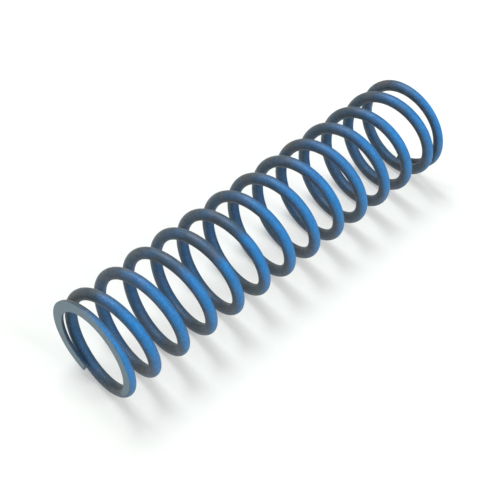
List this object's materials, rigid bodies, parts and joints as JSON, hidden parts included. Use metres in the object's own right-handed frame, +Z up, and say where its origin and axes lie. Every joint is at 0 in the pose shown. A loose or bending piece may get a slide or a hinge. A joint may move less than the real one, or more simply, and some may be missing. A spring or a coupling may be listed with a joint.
{
  "type": "compression spring",
  "caption": "Helical compression spring of blue-painted round wire with closed, flat-ground ends, which pushes back when it is squeezed along its axis.",
  "frame": {"origin": "centre of the lower ground face, on the coil's axis", "axes": "+Z up the axis of the coil; the lower wire tip is 89.5 degrees round from +X"},
  "size_m": [0.0248, 0.0248, 0.1016],
  "materials": {
    "painted_wire": "thin blue paint on dark spring steel, worn to grey on the ground ends"
  },
  "bodies": {
    "root": {"coil_spring": "painted_wire"}
  },
  "joints": []
}
